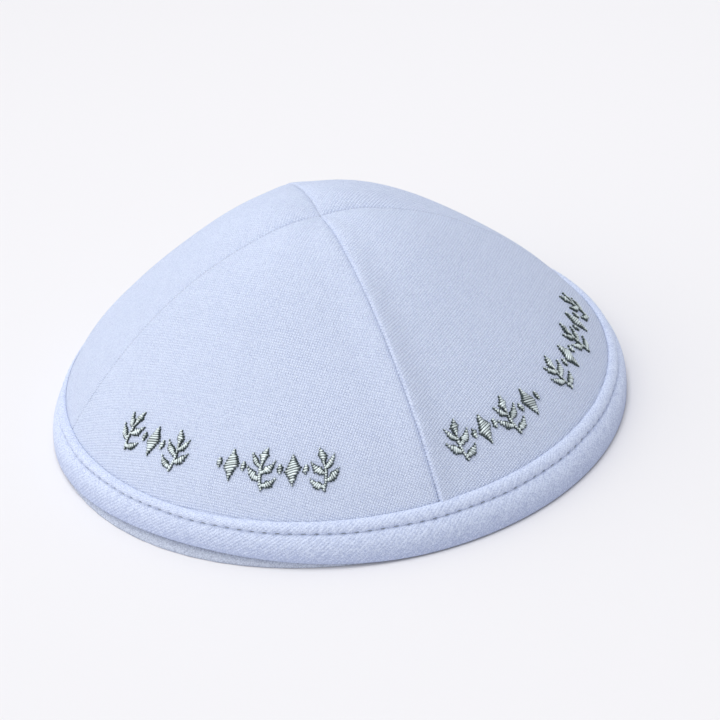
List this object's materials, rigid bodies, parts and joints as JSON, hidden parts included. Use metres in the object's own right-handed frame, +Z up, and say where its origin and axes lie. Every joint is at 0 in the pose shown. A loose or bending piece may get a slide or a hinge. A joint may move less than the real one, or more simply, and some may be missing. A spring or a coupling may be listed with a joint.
{
  "type": "kippah skullcap",
  "caption": "Low domed cloth skullcap of four sewn panels, with a folded bias-tape rim stitched along its rolled upper edge.",
  "frame": {"origin": "on the ground at the centre of the rim that the cap rests on", "axes": "+Z up through the crown, front of the cap (the side in the picture) towards -Y, +X to the right in the picture"},
  "size_m": [0.1805, 0.1782, 0.0636],
  "materials": {
    "linen": "pale blue plain-weave linen, matt, with a few thicker slubs",
    "bias_tape": "pale blue cotton twill cut on the bias, matt",
    "rim_lining": "inner turn of the same twill, a little darker, matt",
    "ornament_thread": "silver grey-green metallic embroidery thread, glossy satin stitch"
  },
  "bodies": {
    "root": {"panel_front": "linen", "panel_right": "linen", "panel_back": "linen", "panel_left": "linen", "rim_tape": "bias_tape", "rim_facing": "rim_lining"}
  },
  "joints": []
}
